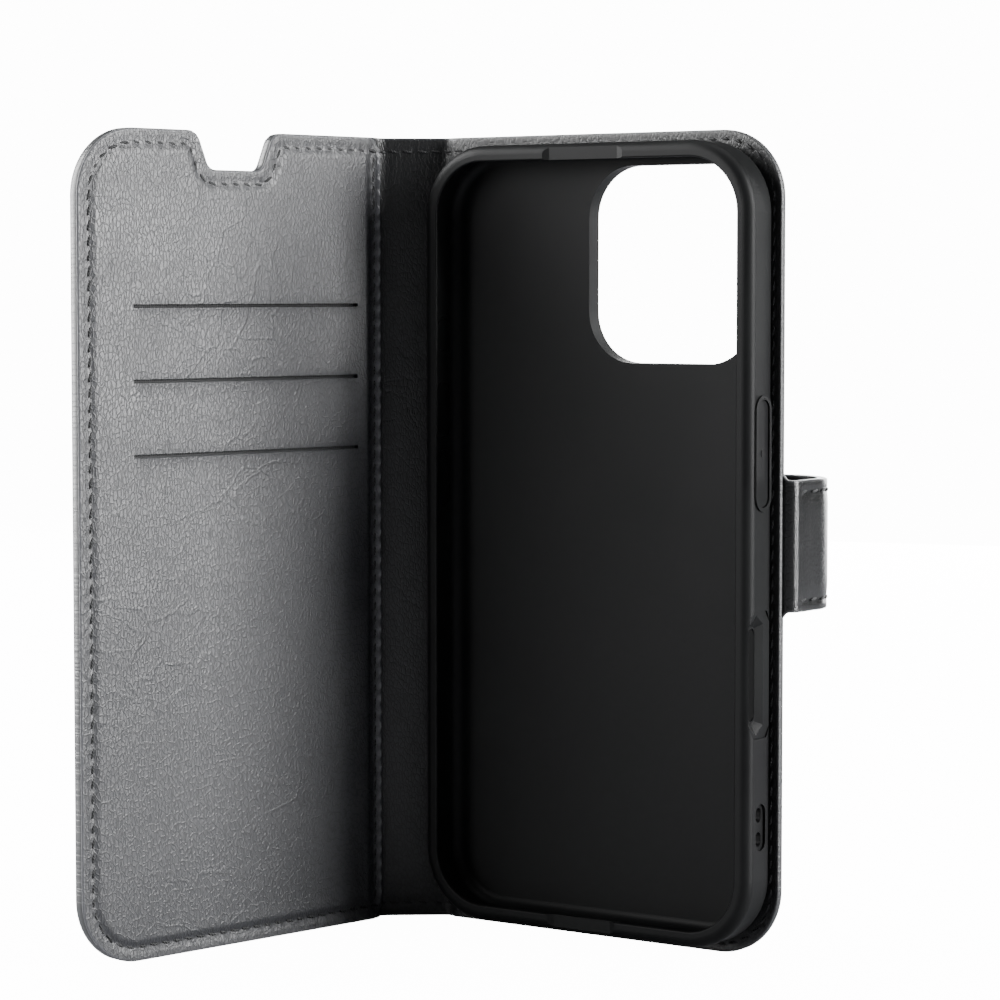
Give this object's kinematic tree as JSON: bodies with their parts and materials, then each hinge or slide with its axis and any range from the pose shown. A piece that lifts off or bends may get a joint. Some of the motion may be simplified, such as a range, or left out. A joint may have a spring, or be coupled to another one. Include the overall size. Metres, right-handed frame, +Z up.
{
  "type": "phone wallet case",
  "caption": "Book-style phone wallet case with a moulded phone tray, a padded front cover with card slits and a bill pocket, and a magnetic closing strap, standing open.",
  "frame": {"origin": "bottom centre of the bounding box of the case as it stands open", "axes": "+X to the right of someone facing the phone tray, +Y away from them, +Z up along the spine"},
  "size_m": [0.1076, 0.1036, 0.1572],
  "materials": {
    "outer_leather": "fine pebble grain, satin",
    "panel_leather": "fine pebble grain, satin",
    "lining_leather": "smooth, semi-gloss",
    "tray_tpu": "moulded satin",
    "thread": "twisted polyester thread",
    "stiffener_board": "pressed board",
    "foam": "fine closed-cell foam",
    "pocket_cloth": "thin woven lining cloth",
    "plated_steel": "nickel plated",
    "adhesive": "double-sided adhesive film"
  },
  "bodies": {
    "back_cover": {"tray_shell": "tray_tpu", "back_leather": "outer_leather", "back_board": "stiffener_board", "back_lining": "lining_leather", "back_stitching": "thread", "tray_adhesive": "adhesive"},
    "spine": {"spine_leather": "outer_leather", "spine_lining": "lining_leather", "spine_stitching": "thread"},
    "front_cover": {"front_leather": "outer_leather", "front_foam": "foam", "front_board": "stiffener_board", "closure_plate": "plated_steel", "bill_pocket_lining": "pocket_cloth", "card_panel": "panel_leather", "card_pocket_1": "pocket_cloth", "card_pocket_2": "pocket_cloth", "card_pocket_3": "pocket_cloth", "panel_hem": "panel_leather", "hem_stitching": "thread", "front_stitching": "thread"},
    "strap_side": {"strap_side_leather": "outer_leather", "strap_side_filler": "stiffener_board", "strap_side_edging": "panel_leather", "strap_side_lining": "lining_leather", "strap_side_stitching": "thread"},
    "strap_tip": {"strap_tip_leather": "outer_leather", "strap_tip_core": "stiffener_board", "strap_magnets": "plated_steel", "strap_tip_lining": "lining_leather", "strap_tip_stitching": "thread"},
    "power_button": {"power_button_cover": "tray_tpu"},
    "action_button": {"action_button_cover": "tray_tpu"},
    "volume_up": {"volume_up_cover": "tray_tpu"},
    "volume_down": {"volume_down_cover": "tray_tpu"}
  },
  "joints": [
    {"name": "spine_fold", "type": "hinge", "parent": "back_cover", "child": "spine", "pos_m": [-0.02716, 0.03227, 0.0786], "axis": [0, 0, 1], "range_deg": [-90, 53]},
    {"name": "front_fold", "type": "hinge", "parent": "spine", "child": "front_cover", "pos_m": [-0.03822, 0.02393, 0.0786], "axis": [0, 0, 1], "range_deg": [-101.6, 48.4]},
    {"name": "strap_root_fold", "type": "hinge", "parent": "back_cover", "child": "strap_side", "pos_m": [0.05224, 0.03227, 0.0786], "axis": [0, 0, -1], "range_deg": [0, 179.5]},
    {"name": "strap_tip_fold", "type": "hinge", "parent": "strap_side", "child": "strap_tip", "pos_m": [0.05224, 0.04942, 0.0786], "axis": [0, 0, -1], "range_deg": [0, 179.5]},
    {"name": "power_press", "type": "slide", "parent": "back_cover", "child": "power_button", "axis": [-1, 0, 0], "range_m": [0, 0.0003], "stiffness_N_per_m": 2000},
    {"name": "action_press", "type": "slide", "parent": "back_cover", "child": "action_button", "axis": [1, 0, 0], "range_m": [0, 0.0003], "stiffness_N_per_m": 2000},
    {"name": "volume_up_press", "type": "slide", "parent": "back_cover", "child": "volume_up", "axis": [1, 0, 0], "range_m": [0, 0.0003], "stiffness_N_per_m": 2000},
    {"name": "volume_down_press", "type": "slide", "parent": "back_cover", "child": "volume_down", "axis": [1, 0, 0], "range_m": [0, 0.0003], "stiffness_N_per_m": 2000}
  ]
}
